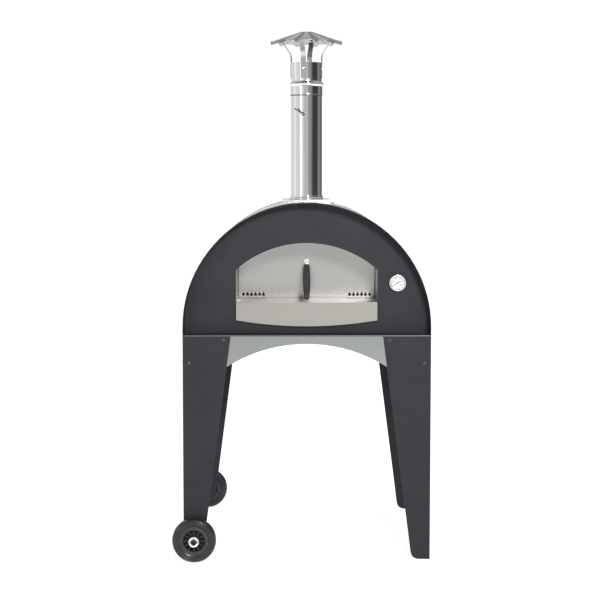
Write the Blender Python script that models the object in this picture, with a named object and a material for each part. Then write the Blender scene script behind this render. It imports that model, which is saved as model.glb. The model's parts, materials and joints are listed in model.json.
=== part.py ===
"""Wood fired pizza oven on a wheeled stand.

Metres, +Z up.  The oven's mouth faces -Y and the wheels are at the -X end.
All sizes below are in the oven's own frame, with x = 0 on the arch's centre
plane, y = 0 half way back and z = 0 on the ground.
"""
import math

import bmesh
import bpy
from mathutils import Matrix, Vector

GAP = 0.0003                    # left between touching pieces
SHEET = 0.0015                  # stainless sheet
PLATE = 0.003                   # painted steel of the panels and legs

# Body
BODY_WIDTH = 0.900
BODY_DEPTH = 0.718
FRONT_Y = -BODY_DEPTH / 2
REAR_Y = BODY_DEPTH / 2
ARCH_RADIUS = BODY_WIDTH / 2
ARCH_Z = 0.8525                 # height of the arch's centre
TRAY_TOP = 0.8233
TRAY_BOTTOM = 0.8193
PANEL_BOTTOM = TRAY_TOP + GAP
RIM_DEPTH = 0.060               # the front panel's rim stands this far forward of its face
PANEL_Y = FRONT_Y + RIM_DEPTH   # the front panel's face
FLANGE_DEPTH = 0.018            # folded edge of the rear panel
VAULT_RADIUS = 0.4395
REAR_RADIUS = 0.4415            # the rear panel laps over the vault
ARCH_STEPS = 48
HIDDEN_STEPS = 24               # arcs of the chamber and its insulation
ROUND_STEPS = 32                # turned pieces of the flue and the wheels
SMALL_STEPS = 24                # small turned pieces

# Mouth, sill and door
MOUTH_HALF_WIDTH = 0.2583
MOUTH_TOP = 1.1540
MOUTH_TOP_RADIUS = 0.389
MOUTH_BOTTOM = 0.8492
MOUTH_BOTTOM_RADIUS = 1.500
HEARTH_Z = 0.938
SILL_FRONT_Y = PANEL_Y - 0.012
SILL_SHEET = 0.002
DOOR_Y = -0.1454                # the door's front face
DOOR_THICKNESS = 0.012
DOOR_GAP = 0.003                # round the door's edge
CHAMBER_FRONT_Y = -0.1321

# Chamber
CHAMBER_RADIUS = 0.375
CHAMBER_Z = 0.872
CHAMBER_REAR_Y = 0.309
CHAMBER_DOORWAY_HALF_WIDTH = 0.2441
CHAMBER_DOORWAY_TOP = 1.1420
BOARD_TOP = 0.8977
BOARD_HALF_WIDTH = 0.434
BRICK_HALF_SPAN = 0.3640

# Stand
LEG_TOP = TRAY_BOTTOM - GAP
LEG_TOP_WIDTH = 0.174
LEG_FOOT_WIDTH = 0.067
LEG_CORNER_RADIUS = 0.025
LEFT_FOOT_Z = 0.035
APRON_TIP_X = 0.289
APRON_TIP_Z = 0.7085
APRON_ARC_TOP = 0.7918
SKIRT_TIP_Y = 0.198
SKIRT_ARC_TOP = 0.779
SCREW_UPPER = (0.149, 0.8055)    # in from the leg's corner, height
SCREW_LOWER = (0.023, 0.722)

# Wheels
AXLE_X = -0.4085
AXLE_RADIUS = 0.010
AXLE_HALF_LENGTH = 0.433
WHEEL_RADIUS = 0.080
WHEEL_Y = 0.3915                # from the middle plane to each wheel's middle
HUB_HALF_LENGTH = 0.0295
RIM_POCKETS = 12

# Flue
FLUE_Y = -0.025
PIPE_RADIUS = 0.060
PIPE_WALL = 0.0012
PIPE_BOTTOM = 1.2375
PIPE_TOP = 1.730
SADDLE_HALF_WIDTH = 0.090
SADDLE_TOP = 1.3050
SADDLE_FOOT = 1.2620
DAMPER_Z = 1.628
FLUE_TURN = math.radians(-12)   # the flue's fittings are turned about its axis
LEVER_RISE = math.radians(33)
CAP_TUBE_RADIUS = 0.058
CAP_FOOT = 1.701
CAP_TOP = 1.823
STRAP_FOOT = 1.762
STRAP_SCREW_Z = 1.800
STRAP_BEND_Z = 1.837
STRAP_TOP = 1.9068
STRAP_HALF_WIDTH = 0.0095
HAT_RADIUS = 0.138
HAT_RIM_Z = 1.901
HAT_FLAT_RADIUS = 0.023
HAT_TOP = 1.939
HAT_PLEATS = 12
HAT_VALLEY_DEPTH = 0.008

# Thermometer
DIAL_X = 0.3317
DIAL_Z = 1.0092
NEEDLE_REST = math.radians(214)

# The origin lies under the middle of the box round the whole object.
ORIGIN_SHIFT = -(AXLE_X - WHEEL_RADIUS + ARCH_RADIUS) / 2

FINISHES = {                    # colour, metallic, roughness
    "black_paint": ((0.062, 0.061, 0.067), 0.2, 0.45),
    "stainless": ((0.62, 0.61, 0.58), 1.0, 0.35),
    "polished_steel": ((0.80, 0.80, 0.79), 1.0, 0.08),
    "chrome": ((0.85, 0.85, 0.86), 1.0, 0.06),
    "zinc": ((0.70, 0.71, 0.72), 1.0, 0.25),
    "firebrick": ((0.72, 0.62, 0.46), 0.0, 0.9),
    "board": ((0.60, 0.58, 0.54), 0.0, 0.95),
    "fibre": ((0.86, 0.85, 0.82), 0.0, 1.0),
    "rubber": ((0.045, 0.046, 0.048), 0.0, 0.6),
    "nylon": ((0.10, 0.10, 0.11), 0.0, 0.45),
    "grip": ((0.035, 0.033, 0.035), 0.0, 0.5),
    "dial_white": ((0.86, 0.85, 0.82), 0.0, 0.5),
    "needle_black": ((0.02, 0.02, 0.02), 0.0, 0.4),
    "glass": ((0.95, 0.97, 0.97), 0.0, 0.02),
}


# ---------------------------------------------------------------- helpers

def clear_scene():
    for old in list(bpy.data.objects):
        bpy.data.objects.remove(old, do_unlink=True)


def finish(name):
    """The shared settings of one finish, as a material for one piece."""
    colour, metallic, roughness = FINISHES[name]
    material = bpy.data.materials.new(name)
    material.use_nodes = True
    shader = material.node_tree.nodes["Principled BSDF"]
    shader.inputs["Base Color"].default_value = (*colour, 1.0)
    shader.inputs["Metallic"].default_value = metallic
    shader.inputs["Roughness"].default_value = roughness
    return material


def empty(name, location, parent=None, turn=0.0):
    holder = bpy.data.objects.new(name, None)
    bpy.context.scene.collection.objects.link(holder)
    holder.location = location
    holder.rotation_euler.z = turn
    holder.parent = parent
    return holder


def add_object(name, bm, material, parent, location=(0, 0, 0), rotation=(0, 0, 0), smooth=False):
    """Make one named object of a bmesh, with its faces pointing out."""
    bmesh.ops.recalc_face_normals(bm, faces=bm.faces)
    mesh = bpy.data.meshes.new(name)
    bm.to_mesh(mesh)
    bm.free()
    if smooth:
        mesh.shade_smooth()
        mesh.set_sharp_from_angle(angle=math.radians(35))
    piece = bpy.data.objects.new(name, mesh)
    bpy.context.scene.collection.objects.link(piece)
    piece.location = location
    piece.rotation_euler = rotation
    piece.parent = parent
    if material:
        mesh.materials.append(finish(material))
    else:
        piece.hide_render = True
        piece.display_type = "WIRE"
    return piece


def boolean(target, tool, operation="DIFFERENCE"):
    modifier = target.modifiers.new(f"{operation.lower()}_{tool.name}", "BOOLEAN")
    modifier.operation = operation
    modifier.object = tool
    modifier.solver = "EXACT"


def arc(centre, radius, start, stop, steps):
    """Points of an arc, both ends included; angles in degrees."""
    points = []
    for step in range(steps + 1):
        angle = math.radians(start + (stop - start) * step / steps)
        points.append((centre[0] + radius * math.cos(angle), centre[1] + radius * math.sin(angle)))
    return points


PLANES = {                      # where an outline's (u, v) at a depth lies
    "X": lambda u, v, depth: Vector((depth, u, v)),
    "Y": lambda u, v, depth: Vector((u, depth, v)),
    "Z": lambda u, v, depth: Vector((u, v, depth)),
}


def add_prism(bm, outline, span, axis="Y", holes=()):
    """Fill a flat outline with its holes and extrude it along the axis."""
    place = PLANES[axis]
    edges = []
    for loop in (outline, *holes):
        corners = [bm.verts.new(place(u, v, span[0])) for u, v in loop]
        for first, second in zip(corners, corners[1:] + corners[:1]):
            edges.append(bm.edges.new((first, second)))
    filled = bmesh.ops.triangle_fill(bm, use_beauty=True, edges=edges)
    faces = [item for item in filled["geom"] if isinstance(item, bmesh.types.BMFace)]
    pulled = bmesh.ops.extrude_face_region(bm, geom=faces)
    far = [item for item in pulled["geom"] if isinstance(item, bmesh.types.BMVert)]
    bmesh.ops.translate(bm, verts=far, vec=place(0, 0, span[1]) - place(0, 0, span[0]))


def prism(name, outline, span, material, parent, axis="Y", holes=(), **options):
    bm = bmesh.new()
    add_prism(bm, outline, span, axis, holes)
    return add_object(name, bm, material, parent, **options)


def add_turned(bm, profile, steps, matrix=Matrix.Identity(4)):
    """Turn a profile of (radius, height) about Z; a closed ring unless it ends on the axis."""
    corners = [bm.verts.new((radius, 0, height)) for radius, height in profile]
    pairs = list(zip(corners, corners[1:]))
    if profile[0][0] > 0:
        pairs.append((corners[-1], corners[0]))
    edges = [bm.edges.new(pair) for pair in pairs]
    before = set(bm.verts) - set(corners)
    bmesh.ops.spin(bm, geom=corners + edges, cent=(0, 0, 0), axis=(0, 0, 1),
                   angle=math.tau, steps=steps, use_merge=True)
    turned = [vert for vert in bm.verts if vert not in before]
    bmesh.ops.remove_doubles(bm, verts=turned, dist=1e-6)
    turned = [vert for vert in bm.verts if vert not in before]
    bmesh.ops.transform(bm, matrix=matrix, verts=turned)


def turned(name, profile, steps, material, parent, **options):
    bm = bmesh.new()
    add_turned(bm, profile, steps)
    return add_object(name, bm, material, parent, smooth=True, **options)


def box(name, low, high, material, parent):
    outline = [(low[0], low[1]), (high[0], low[1]), (high[0], high[1]), (low[0], high[1])]
    return prism(name, outline, (low[2], high[2]), material, parent, axis="Z")


def rod(radius, low, high):
    """Profile of a plain solid rod for turning."""
    return [(0, low), (radius, low), (radius, high), (0, high)]


def ring(inner, outer, low, high):
    """Profile of a plain ring for turning."""
    return [(inner, low), (outer, low), (outer, high), (inner, high)]


FACING_FRONT = (math.pi / 2, 0, 0)      # turns +Z to -Y
FACING_REAR = (-math.pi / 2, 0, 0)      # turns +Z to +Y


# --------------------------------------------------------------- outlines

def body_outline(inset=0.0, bottom=PANEL_BOTTOM):
    """The arch with its short straight sides."""
    half = ARCH_RADIUS - inset
    return [(-half, bottom), (half, bottom)] + arc((0, ARCH_Z), half, 0, 180, ARCH_STEPS)


def arch_above(radius, centre_z, floor_z):
    """The part of a circle above a floor, from its right end to its left."""
    start = math.degrees(math.asin((floor_z - centre_z) / radius))
    return arc((0, centre_z), radius, start, 180 - start, HIDDEN_STEPS)


def mouth_arc(inset):
    """The mouth's top arc, from its right end to its left."""
    radius = MOUTH_TOP_RADIUS - inset
    centre_z = MOUTH_TOP - MOUTH_TOP_RADIUS
    half = MOUTH_HALF_WIDTH - inset
    start = math.degrees(math.acos(half / radius))
    return arc((0, centre_z), radius, start, 180 - start, 24)


def mouth_sag(inset):
    """The mouth's curved lower edge, from its left end to its right."""
    radius = MOUTH_BOTTOM_RADIUS - inset
    centre_z = MOUTH_BOTTOM + MOUTH_BOTTOM_RADIUS
    half = MOUTH_HALF_WIDTH - inset
    swing = math.degrees(math.asin(half / radius))
    return arc((0, centre_z), radius, 270 - swing, 270 + swing, 12)


def door_outline(inset, floor_z):
    half = MOUTH_HALF_WIDTH - inset
    return [(-half, floor_z), (half, floor_z)] + mouth_arc(inset)


def vent_outlines(growth=0.0):
    """Two rows of six drop shaped vents, points up."""
    loops = []
    radius = 0.0052 + growth
    for side in (-1, 1):
        for place in range(6):
            x = side * (0.1617 + 0.0151 * place)
            bowl = arc((x, HEARTH_Z + 0.0108), radius, 180, 360, 4)
            loops.append(bowl + [(x, HEARTH_Z + 0.0218 + growth)])
    return loops


def arched_skirt(half, tip, tip_z, arc_top):
    """A flat skirt whose lower edge is cut to an arc between its tips."""
    rise = arc_top - tip_z
    radius = (tip ** 2 + rise ** 2) / (2 * rise)
    swing = math.degrees(math.asin(tip / radius))
    curve = arc((0, arc_top - radius), radius, 90 + swing, 90 - swing, 18)
    return [(-half, LEG_TOP), (-half, tip_z)] + curve + [(half, tip_z), (half, LEG_TOP)]


# -------------------------------------------------------------- the shell

def build_shell(oven):
    half, deep = ARCH_RADIUS, BODY_DEPTH / 2
    box("base_tray", (-half, -deep, TRAY_BOTTOM), (half, deep, TRAY_TOP), "stainless", oven)

    # The front panel's face is set back inside a rim that shades it; the tray closes the rim below.
    probe_hole = arc((DIAL_X, DIAL_Z), 0.0068, 0, 330, 11)
    front = prism("front_panel", body_outline(), (FRONT_Y, PANEL_Y + PLATE), "black_paint",
                  oven, holes=(mouth_sag(0) + mouth_arc(0), probe_hole))
    recess = prism("front_recess", body_outline(PLATE, TRAY_BOTTOM), (FRONT_Y - 0.010, PANEL_Y),
                   None, oven)
    boolean(front, recess)
    rear_inset = ARCH_RADIUS - REAR_RADIUS
    rear = prism("rear_panel", body_outline(rear_inset), (REAR_Y, REAR_Y - FLANGE_DEPTH),
                 "stainless", oven)
    foot = PANEL_BOTTOM + PLATE
    hollow = prism("rear_hollow", body_outline(rear_inset + SHEET, foot),
                   (REAR_Y - PLATE, REAR_Y - 2 * FLANGE_DEPTH), None, oven)
    boolean(rear, hollow)

    foot += GAP
    outer = [(VAULT_RADIUS, foot)] + arc((0, ARCH_Z), VAULT_RADIUS, 0, 180, ARCH_STEPS)
    inner = arc((0, ARCH_Z), VAULT_RADIUS - SHEET, 180, 0, ARCH_STEPS)
    outline = outer + [(-VAULT_RADIUS, foot), (-VAULT_RADIUS + SHEET, foot)] + inner
    span = (PANEL_Y + PLATE + GAP, REAR_Y - PLATE - GAP)
    vault = prism("roof_vault", outline + [(VAULT_RADIUS - SHEET, foot)], span, "stainless", oven)
    return vault


def build_mouth(oven):
    """The lining of the mouth and the folded sill that closes it below."""
    half, foot = MOUTH_HALF_WIDTH, HEARTH_Z - 0.004
    outer = [(half + SHEET, foot)] + mouth_arc(-SHEET) + [(-half - SHEET, foot)]
    inner = [(-half, foot)] + mouth_arc(0)[::-1] + [(half, foot)]
    prism("mouth_tunnel", outer + inner, (PANEL_Y + PLATE + GAP, CHAMBER_FRONT_Y - GAP),
          "stainless", oven)

    def face(inset):
        half = MOUTH_HALF_WIDTH - inset
        return mouth_sag(inset) + [(half, HEARTH_Z - inset), (-half, HEARTH_Z - inset)]

    clearance = 0.0005
    half = MOUTH_HALF_WIDTH - clearance
    top = [(half, HEARTH_Z), (-half, HEARTH_Z)]
    sill = prism("hearth_sill", mouth_sag(clearance) + top, (SILL_FRONT_Y, PANEL_Y + 0.005),
                 "stainless", oven)
    hollow = prism("sill_hollow", face(clearance + SILL_SHEET),
                   (SILL_FRONT_Y + SILL_SHEET, PANEL_Y + 0.020), None, oven)
    ledge = box("sill_ledge", (-half, SILL_FRONT_Y + SILL_SHEET / 2, HEARTH_Z - SILL_SHEET),
                (half, CHAMBER_FRONT_Y - GAP, HEARTH_Z), None, oven)
    boolean(sill, hollow)
    boolean(sill, ledge, "UNION")


def build_chamber(oven, flue_hole):
    floor = BOARD_TOP + GAP
    wall_outline = arch_above(CHAMBER_RADIUS, CHAMBER_Z, floor)
    half = CHAMBER_DOORWAY_HALF_WIDTH
    drop = MOUTH_HALF_WIDTH - half
    start = math.degrees(math.acos(half / (MOUTH_TOP_RADIUS - drop)))
    doorway_top = arc((0, CHAMBER_DOORWAY_TOP - MOUTH_TOP_RADIUS + drop),
                      MOUTH_TOP_RADIUS - drop, start, 180 - start, 20)
    doorway = [(-half, HEARTH_Z), (half, HEARTH_Z)] + doorway_top
    probe_hole = arc((DIAL_X, DIAL_Z), 0.0045, 0, 315, 7)
    front_span = (CHAMBER_FRONT_Y, CHAMBER_FRONT_Y + SILL_SHEET)
    prism("chamber_front_wall", wall_outline, front_span, "stainless", oven,
          holes=(doorway, probe_hole))
    prism("chamber_rear_wall", wall_outline, (CHAMBER_REAR_Y, CHAMBER_REAR_Y + SILL_SHEET),
          "stainless", oven)

    span = (front_span[1] + GAP, CHAMBER_REAR_Y - GAP)
    inner = arch_above(CHAMBER_RADIUS - SHEET, CHAMBER_Z, floor)
    vault = prism("chamber_vault", wall_outline + inner[::-1], span, "stainless", oven)

    blanket_outer = arch_above(VAULT_RADIUS - 0.002, ARCH_Z, floor)
    blanket_inner = arch_above(CHAMBER_RADIUS + 0.0015, CHAMBER_Z, floor)
    blanket = prism("dome_insulation", blanket_outer + blanket_inner[::-1], span, "fibre", oven)
    prism("rear_insulation", blanket_outer,
          (CHAMBER_REAR_Y + SILL_SHEET + GAP, REAR_Y - PLATE - 0.0007), "fibre", oven)
    for piece in (vault, blanket):
        boolean(piece, flue_hole)

    box("floor_insulation_board", (-BOARD_HALF_WIDTH, PANEL_Y + 0.010, PANEL_BOTTOM),
        (BOARD_HALF_WIDTH, REAR_Y - FLANGE_DEPTH - 0.0005, BOARD_TOP), "board", oven)
    middle_y = (span[0] + span[1]) / 2
    number = 0
    for rows in ((span[0], middle_y - GAP), (middle_y + GAP, span[1])):
        for columns in ((-BRICK_HALF_SPAN, -GAP), (GAP, BRICK_HALF_SPAN)):
            number += 1
            box(f"firebrick_{number}", (columns[0], rows[0], floor),
                (columns[1], rows[1], HEARTH_Z), "firebrick", oven)


# -------------------------------------------------------------- the stand

def leg_sections(foot_z):
    """Heights and flange widths up a leg, with the rounded inner foot corner."""
    def width(z):
        return LEG_FOOT_WIDTH + (LEG_TOP_WIDTH - LEG_FOOT_WIDTH) * z / LEG_TOP

    sections = []
    for step in range(7):
        angle = math.radians(15 * step)
        z = foot_z + LEG_CORNER_RADIUS * (1 - math.cos(angle))
        sections.append((z, width(z) - LEG_CORNER_RADIUS * (1 - math.sin(angle))))
    sections.append((LEG_TOP, width(LEG_TOP)))
    return sections


def build_leg(name, side_x, side_y, foot_z, oven):
    """A folded angle of sheet whose two flanges taper towards the foot."""
    bm = bmesh.new()
    x, y = ARCH_RADIUS, BODY_DEPTH / 2
    loops = []
    for z, width in leg_sections(foot_z):
        corners = ((x, y), (x - width, y), (x - width, y - PLATE), (x - PLATE, y - PLATE),
                   (x - PLATE, y - width), (x, y - width))
        loops.append([bm.verts.new((side_x * u, side_y * v, z)) for u, v in corners])
    for low, high in zip(loops, loops[1:]):
        for index in range(6):
            following = (index + 1) % 6
            bm.faces.new((low[index], low[following], high[following], high[index]))
    for end in (loops[0], loops[-1]):
        bm.faces.new((end[0], end[1], end[2], end[3]))
        bm.faces.new((end[0], end[3], end[4], end[5]))
    return add_object(name, bm, "black_paint", oven)


def screw_places():
    """Matrices of the leg screws' holes, with +Z pointing out of the sheet."""
    places = []
    for side_x in (-1, 1):
        for side_y in (-1, 1):
            for inset, z in (SCREW_UPPER, SCREW_LOWER):
                at_front = Vector((side_x * (ARCH_RADIUS - inset), side_y * BODY_DEPTH / 2, z))
                turn_front = Matrix.Rotation(-side_y * math.pi / 2, 4, "X")
                places.append(Matrix.Translation(at_front) @ turn_front)
                at_side = Vector((side_x * ARCH_RADIUS, side_y * (BODY_DEPTH / 2 - inset), z))
                turn_side = Matrix.Rotation(side_x * math.pi / 2, 4, "Y")
                places.append(Matrix.Translation(at_side) @ turn_side)
    return places


def build_stand(oven):
    holes = bmesh.new()
    for place in screw_places():
        add_turned(holes, rod(0.0033, -0.015, 0.015), 8, place)
    screw_holes = add_object("screw_holes", holes, None, oven)
    axle_hole = turned("axle_hole", rod(0.0106, -0.5, 0.5), SMALL_STEPS, None, oven,
                       location=(AXLE_X, 0, WHEEL_RADIUS), rotation=FACING_FRONT)

    for row, side_y in (("front", -1), ("rear", 1)):
        for end, side_x, foot_z in (("left", -1, LEFT_FOOT_Z), ("right", 1, 0.0)):
            leg = build_leg(f"leg_{row}_{end}", side_x, side_y, foot_z, oven)
            boolean(leg, screw_holes)
            if end == "left":
                boolean(leg, axle_hole)
        face = side_y * (BODY_DEPTH / 2 - PLATE - GAP)
        outline = arched_skirt(ARCH_RADIUS - PLATE - 2 * GAP - SHEET, APRON_TIP_X, APRON_TIP_Z,
                               APRON_ARC_TOP)
        apron = prism(f"{row}_apron", outline, (face, face - side_y * SHEET), "stainless", oven)
        boolean(apron, screw_holes)
    for end, side_x in (("left", -1), ("right", 1)):
        face = side_x * (ARCH_RADIUS - PLATE - GAP)
        outline = arched_skirt(BODY_DEPTH / 2 - PLATE - GAP, SKIRT_TIP_Y, APRON_TIP_Z,
                               SKIRT_ARC_TOP)
        skirt = prism(f"{end}_side_skirt", outline, (face, face - side_x * SHEET), "stainless",
                      oven, axis="X")
        boolean(skirt, screw_holes)


# ------------------------------------------------------------- the wheels

def rim_pocket_outline(middle):
    """One pocket between two ribs of the wheel's disc."""
    rib_half, inner, outer = 0.002, 0.0235, 0.0385
    points = []
    for radius, order in ((inner, (-1, 1)), (outer, (1, 0, -1))):
        reach = math.pi / RIM_POCKETS - math.asin(rib_half / radius)
        for part in order:
            angle = middle + part * reach
            points.append((radius * math.cos(angle), radius * math.sin(angle)))
    return points


def build_wheel(name, side_y, oven):
    spin = empty(f"{name}_axis", (AXLE_X, side_y * WHEEL_Y, WHEEL_RADIUS), oven)
    turn = FACING_FRONT if side_y < 0 else FACING_REAR
    half_tyre = [(0.0536, 0.0175), (0.0600, 0.0190), (0.0690, 0.0198), (0.0765, 0.0165),
                 (0.0800, 0.0080)]
    mirrored = [(radius, -height) for radius, height in half_tyre]
    turned(f"{name}_tyre", mirrored + half_tyre[::-1], ROUND_STEPS, "rubber", spin, rotation=turn)

    half_rim = [(0.0133, HUB_HALF_LENGTH), (0.0200, HUB_HALF_LENGTH), (0.0218, 0.0155),
                (0.0395, 0.0155), (0.0405, 0.0190), (0.0532, 0.0190)]
    mirrored = [(radius, -height) for radius, height in half_rim]
    rim = turned(f"{name}_rim", mirrored + half_rim[::-1], ROUND_STEPS, "nylon", spin, rotation=turn)
    pockets = bmesh.new()
    for index in range(RIM_POCKETS):
        outline = rim_pocket_outline(math.tau * (index + 0.5) / RIM_POCKETS)
        for side in (-1, 1):
            add_prism(pockets, outline, (side * 0.003, side * 0.025), axis="Z")
    boolean(rim, add_object(f"{name}_rim_pockets", pockets, None, spin, rotation=turn))

    bush = ring(0.0103, 0.0130, -HUB_HALF_LENGTH, HUB_HALF_LENGTH)
    turned(f"{name}_bush", bush, SMALL_STEPS, "nylon", spin, rotation=turn)


def build_axle(oven):
    tube = ring(0.007, AXLE_RADIUS, -AXLE_HALF_LENGTH, AXLE_HALF_LENGTH)
    at_axle = (AXLE_X, 0, WHEEL_RADIUS)
    turned("axle", tube, SMALL_STEPS, "black_paint", oven, location=at_axle, rotation=FACING_FRONT)
    start = WHEEL_Y + HUB_HALF_LENGTH + GAP
    for row, facing in (("front", FACING_FRONT), ("rear", FACING_REAR)):
        turned(f"{row}_axle_washer", ring(0.0103, 0.0185, start, start + 0.0025), SMALL_STEPS, "zinc",
               oven, location=at_axle, rotation=facing)


# --------------------------------------------------------------- the flue

def build_flue(oven, roof_vault):
    """Saddle, collar and pipe; returns the hole that the pipe needs."""
    axis = empty("flue_axis", (0, FLUE_Y, 0), oven, FLUE_TURN)
    hole = turned("flue_hole", rod(0.0616, 1.150, 1.400), ROUND_STEPS, None, axis)
    boolean(roof_vault, hole)

    low = (-SADDLE_HALF_WIDTH, FLUE_Y - SADDLE_HALF_WIDTH, SADDLE_FOOT)
    high = (SADDLE_HALF_WIDTH, FLUE_Y + SADDLE_HALF_WIDTH, SADDLE_TOP)
    saddle = box("flue_saddle_plate", low, high, "stainless", oven)
    wall = SHEET
    hollow = box("saddle_hollow", (low[0] + wall, low[1] + wall, SADDLE_FOOT - 0.050),
                 (high[0] - wall, high[1] - wall, SADDLE_TOP - wall), None, oven)
    dome = prism("saddle_dome", arc((0, ARCH_Z), VAULT_RADIUS + GAP, 0, 180, ARCH_STEPS),
                 (FLUE_Y - 0.2, FLUE_Y + 0.2), None, oven)
    for cutter in (hollow, dome, hole):
        boolean(saddle, cutter)

    base = SADDLE_TOP + GAP
    collar = [(0.0606, base), (0.0665, base), (0.0665, base + 0.004), (0.0630, base + 0.009),
              (0.0622, base + 0.015), (0.0606, base + 0.015)]
    turned("flue_collar", collar, ROUND_STEPS, "polished_steel", axis)
    pipe = turned("flue_pipe", ring(PIPE_RADIUS - PIPE_WALL, PIPE_RADIUS, PIPE_BOTTOM, PIPE_TOP),
                  ROUND_STEPS, "polished_steel", axis)
    spindle_hole = turned("spindle_hole", rod(0.0035, -0.1, 0.1), 12, None, axis,
                          location=(0, 0, DAMPER_Z), rotation=FACING_FRONT)
    boolean(pipe, spindle_hole)
    return axis, hole


def build_damper(axis):
    """Disc, spindle and wire lever that turn together across the pipe."""
    pivot = empty("damper_axis", (0, 0, DAMPER_Z), axis)
    turned("damper_spindle", rod(0.003, -0.0635, 0.0745), 12, "zinc", pivot, rotation=FACING_FRONT)

    # The lever points to the left and up; the disc lies along it, beside the spindle.
    tilt = (0, LEVER_RISE, 0)
    offset = 0.0034
    turned("damper_plate", rod(0.0555, offset, offset + 0.0015), ROUND_STEPS, "stainless", pivot,
           rotation=tilt)
    hub_back = PIPE_RADIUS + 0.003
    hub = turned("damper_lever", ring(0.0034, 0.0072, hub_back, hub_back + 0.007), 16, "zinc",
                 pivot, rotation=FACING_FRONT)
    reach = 0.034
    wire_y = -hub_back - 0.0035
    pointing_left = Matrix.Rotation(LEVER_RISE, 4, "Y") @ Matrix.Rotation(-math.pi / 2, 4, "Y")
    wire = bmesh.new()
    add_turned(wire, [(0, 0.0055), (0.0024, 0.0055), (0.0024, reach - 0.003),
                      (0.0034, reach), (0.0034, reach + 0.003), (0, reach + 0.004)], 10,
               Matrix.Translation((0, wire_y, 0)) @ pointing_left)
    boolean(hub, add_object("lever_wire", wire, None, pivot), "UNION")


def build_cap(axis):
    """Socket tube with its bead, four straps with their screw holes and the pleated hat."""
    outer = [(0.0614, CAP_FOOT), (0.0614, 1.7295), (0.0650, 1.7345), (0.0667, 1.7410),
             (0.0650, 1.7475), (CAP_TUBE_RADIUS + 0.001, 1.7530), (CAP_TUBE_RADIUS, 1.7600),
             (CAP_TUBE_RADIUS, CAP_TOP)]
    inner = [(CAP_TUBE_RADIUS - PIPE_WALL, CAP_TOP), (CAP_TUBE_RADIUS - PIPE_WALL, 1.7480),
             (0.0604, 1.7400), (0.0604, CAP_FOOT)]
    tube = turned("cap_tube", outer + inner, ROUND_STEPS, "polished_steel", axis)

    # Each strap rises from the tube and leans out to the hat.
    foot, bend_radius, lean = CAP_TUBE_RADIUS + GAP, 0.050, 35
    hat_slope = (HAT_TOP - HAT_RIM_Z) / (HAT_RADIUS - HAT_FLAT_RADIUS)

    def strap_side(start, radius):
        curve = arc((foot + bend_radius, STRAP_BEND_Z), radius, 180, 180 - lean, 8)
        last_r, last_z = curve[-1]
        way = (math.sin(math.radians(lean)), math.cos(math.radians(lean)))
        reach = (STRAP_TOP - last_z) / way[1]
        return [(start, STRAP_FOOT)] + curve + [(last_r + way[0] * reach, STRAP_TOP)]

    inner_side = strap_side(foot + SHEET, bend_radius - SHEET)
    outer_side = strap_side(foot, bend_radius)
    outline = inner_side + outer_side[::-1]
    screw_holes = bmesh.new()
    straps = []
    for number in range(4):
        angle = math.pi / 2 * number
        straps.append(prism(f"hat_strut_{number + 1}", outline, (-STRAP_HALF_WIDTH, STRAP_HALF_WIDTH),
                            "polished_steel", axis, rotation=(0, 0, angle)))
        at_foot = Matrix.Translation((foot, 0, STRAP_SCREW_Z)) @ Matrix.Rotation(math.pi / 2, 4, "Y")
        place = Matrix.Rotation(angle, 4, "Z") @ at_foot
        add_turned(screw_holes, rod(0.0024, -0.010, 0.010), 10, place)
    holes = add_object("strut_screw_holes", screw_holes, None, axis)
    for piece in (tube, *straps):
        boolean(piece, holes)
    build_hat(axis, hat_slope)


def build_hat(axis, slope):
    """A shallow cone of sheet, pressed into flat ridges with narrow valleys."""
    bm = bmesh.new()
    pitch = 360 / HAT_PLEATS
    turn = -90 - math.degrees(FLUE_TURN)
    angles = []
    for pleat in range(HAT_PLEATS):
        for offset, depth in ((-9.5, 0), (9.5, 0), (12.5, 1), (17.5, 1)):
            angles.append((math.radians(turn + pitch * pleat + offset), depth))
    rings = []
    for under in (0, 0.0012):
        for radius in (HAT_FLAT_RADIUS, HAT_RADIUS):
            loop = []
            for angle, depth in angles:
                z = HAT_TOP - slope * (radius - HAT_FLAT_RADIUS) - under
                if radius == HAT_RADIUS:
                    z -= depth * HAT_VALLEY_DEPTH
                loop.append(bm.verts.new((radius * math.cos(angle), radius * math.sin(angle), z)))
            rings.append(loop)
    top_flat, top_rim, under_flat, under_rim = rings
    for first, second in ((top_flat, top_rim), (top_rim, under_rim), (under_rim, under_flat)):
        for index in range(len(angles)):
            following = (index + 1) % len(angles)
            bm.faces.new((first[index], first[following], second[following], second[index]))
    bm.faces.new(top_flat)
    bm.faces.new(under_flat)
    add_object("rain_hat", bm, "polished_steel", axis)


# -------------------------------------------------------------- the door

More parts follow.
